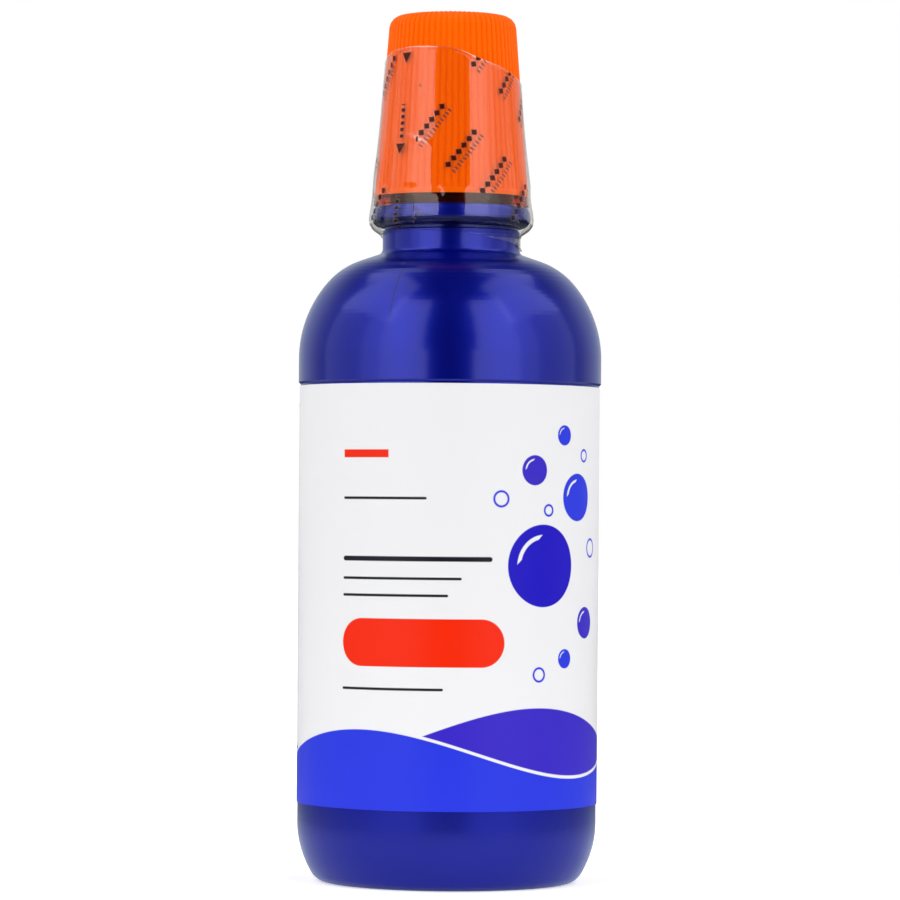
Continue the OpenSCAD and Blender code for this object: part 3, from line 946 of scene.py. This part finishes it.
# %% [markdown]
# The studio
#
# Two tall soft boxes stand in front, left and right of the camera. They give the blue
# columns on the bottle and the bright columns on the film. A narrow low strip beside each
# draws the columns in where the bottle is upright. Dimmer panels close the sides. The shoulder
# mirrors what is high up, so upper and crown boxes carry the columns on over it, and rear
# boxes light the foot of the neck. Behind the bottle the room is white, which rims the
# silhouette, and in front it is dark, which keeps the stripe between the columns deep. A
# picture of a studio could light the bottle too, but here each panel is given by the part of
# the sky that it fills, as the bottle sees it, so its place can be read off a reflection.

# %% Soft boxes
BOX_DISTANCE = 1.15
PANELS_OF_LIGHT = (
    # name, turn from the front, half its width, lowest and highest elevation, radiance
    ("inner_box", 18.4, 1.6, 0, 13, 2.5),
    ("front_box", 36.9, 17.1, 0, 57, 2.5),
    ("flank_panel", 62, 8, 0, 36, 1.6),
    ("side_wall", 89, 19, 0, 36, 0.95),
    ("upper_box", 80, 30, 37, 58, 2.0),
    ("crown_box", 81, 32, 58, 71, 1.85),
    ("rear_box", 126, 13, 51, 76, 1.75),
)


def add_lamp(name, turn, half_width, low, high, radiance):
    """An upright lit panel that faces the bottle. Angles are in degrees."""
    foot, head = (BOX_DISTANCE * tan(radians(angle)) for angle in (low, high))
    data = bpy.data.lights.new(name, "AREA")
    data.shape = "RECTANGLE"
    data.size = 2 * BOX_DISTANCE * tan(radians(half_width))
    data.size_y = head - foot
    data.energy = radiance * pi * data.size * data.size_y
    lamp = bpy.data.objects.new(name, data)
    bpy.context.collection.objects.link(lamp)
    way = Vector((sin(radians(turn)), -cos(radians(turn)), 0))
    lamp.location = way * BOX_DISTANCE + Vector((0, 0, (foot + head) / 2))
    lamp.rotation_mode = "QUATERNION"
    lamp.rotation_quaternion = (-way).to_track_quat("-Z", "Y")
    lamp.visible_camera = False
    return lamp


for name, turn, *facts in PANELS_OF_LIGHT:
    for side, word in ((-1, "left"), (1, "right")):
        lamp = add_lamp(word + "_" + name, side * turn, *facts)
        print(lamp.name, "at", [round(x, 2) for x in lamp.location])

# %% World
# Where a ray's way turns the room from dark to white: towards the back, and down from above.
BACKWARD = (0.1, 0.65)
UPWARD = (0.4, 0.8)
DARK_LEVEL = 0.015
WHITE_LEVEL = 0.78


def room():
    """White low behind the bottle, dark in front and above, and white to the camera and through glass."""
    world = bpy.data.worlds.new("studio")
    world.use_nodes = True
    tree = world.node_tree
    tree.nodes.clear()
    made = {}
    for key, kind in (
        ("way", "TexCoord"), ("axes", "SeparateXYZ"), ("back", "MapRange"), ("low", "MapRange"),
        ("both", "Math"), ("level", "MapRange"), ("rays", "LightPath"), ("seen", "Math"),
        ("sum", "Mix"), ("light", "Background"), ("out", "OutputWorld"),
    ):
        made[key] = tree.nodes.new("ShaderNode" + kind)

    def link(a, output, b, entry):
        tree.links.new(made[a].outputs[output], made[b].inputs[entry])

    def limits(key, numbers):
        for entry, number in zip(("From Min", "From Max", "To Min", "To Max"), numbers):
            made[key].inputs[entry].default_value = number

    limits("back", (*BACKWARD, 0, 1))
    limits("low", (*UPWARD, 1, 0))
    limits("level", (0, 1, DARK_LEVEL, WHITE_LEVEL))
    made["light"].inputs["Color"].default_value = (1, 1, 1, 1)
    made["both"].operation = "MULTIPLY"
    made["seen"].operation = "MAXIMUM"
    link("way", "Generated", "axes", "Vector")
    link("axes", "Y", "back", "Value")
    link("axes", "Z", "low", "Value")
    link("back", 0, "both", 0)
    link("low", 0, "both", 1)
    link("both", 0, "level", "Value")
    link("rays", "Is Camera Ray", "seen", 0)
    link("rays", "Is Transmission Ray", "seen", 1)
    link("seen", 0, "sum", 0)
    link("level", 0, "sum", 2)
    made["sum"].inputs[3].default_value = 1
    link("sum", 0, "light", "Strength")
    link("light", 0, "out", 0)
    return world


bpy.context.scene.world = room()
print("the room is", bpy.context.scene.world.name)

# %% [markdown]
# The floor is a plain white table. It takes the bottle's shadow, and far from the bottle it
# glows just enough to melt into the white background. A white floor would also whiten the
# foot of the bottle and the dark stripe, which mirror it. So the table is dark in front, where
# a photographer lays black card out of view, and to mirrored rays it is dark all round, except
# close to the bottle.

# %% Floor
FLOOR_RADIUS = 5.0
FLOOR_SIDES = 96
CARD_FAR = -0.5
CARD_NEAR = -0.08
CARD_SHARE = 0.85
TABLE_WHITE = (0.86, 0.86, 0.86)
CARD_BLACK = (0.12, 0.12, 0.12)
# Distances from the bottle between which each changes, and its values there.
MIRRORED_DARK = (0.16, 0.34, 0, 1)
# Close to the bottle the table also glows to every ray but the camera's, which lights the foot of the bottle
# from below as a lit table would.
NEAR_GLOW = (0.05, 0.14, 0.3, 0)
FAR_GLOW = (0.1, 0.3, 0.5, 1)


def add_floor():
    bpy.ops.object.select_all(action="DESELECT")
    bpy.ops.mesh.primitive_circle_add(vertices=FLOOR_SIDES, radius=FLOOR_RADIUS, fill_type="NGON")
    floor = bpy.context.object
    floor.name = "floor"
    g = Graph("white_table")
    away = g.node("VectorMath", {0: g.place()}, operation="LENGTH").outputs["Value"]
    rays = g.node("LightPath")
    spot = g.node("SeparateXYZ", {"Vector": g.place()})
    mirrored = g.math("MULTIPLY", rays.outputs["Is Glossy Ray"], g.ramp(away, *MIRRORED_DARK))
    card = g.ramp(spot.outputs["Y"], CARD_FAR, CARD_NEAR, CARD_SHARE, 0)
    dark = g.math("MAXIMUM", mirrored, card)
    glow = g.mix(rays.outputs["Is Camera Ray"], g.ramp(away, *NEAR_GLOW), g.ramp(away, *FAR_GLOW))
    floor.data.materials.append(g.finish(
        Base_Color=g.mix(dark, TABLE_WHITE, CARD_BLACK),
        Roughness=0.9,
        Specular_IOR_Level=0.1,
        Emission_Color=(1, 1, 1),
        Emission_Strength=glow,
    ))
    return floor


print("floor is", add_floor().dimensions.x, "m across")

# %% [markdown]
# The colour view
#
# The colours are shown as they are, with no film look on top: blue this deep would turn dull
# under one.

# %% Finish
bpy.context.scene.view_settings.view_transform = "Standard"
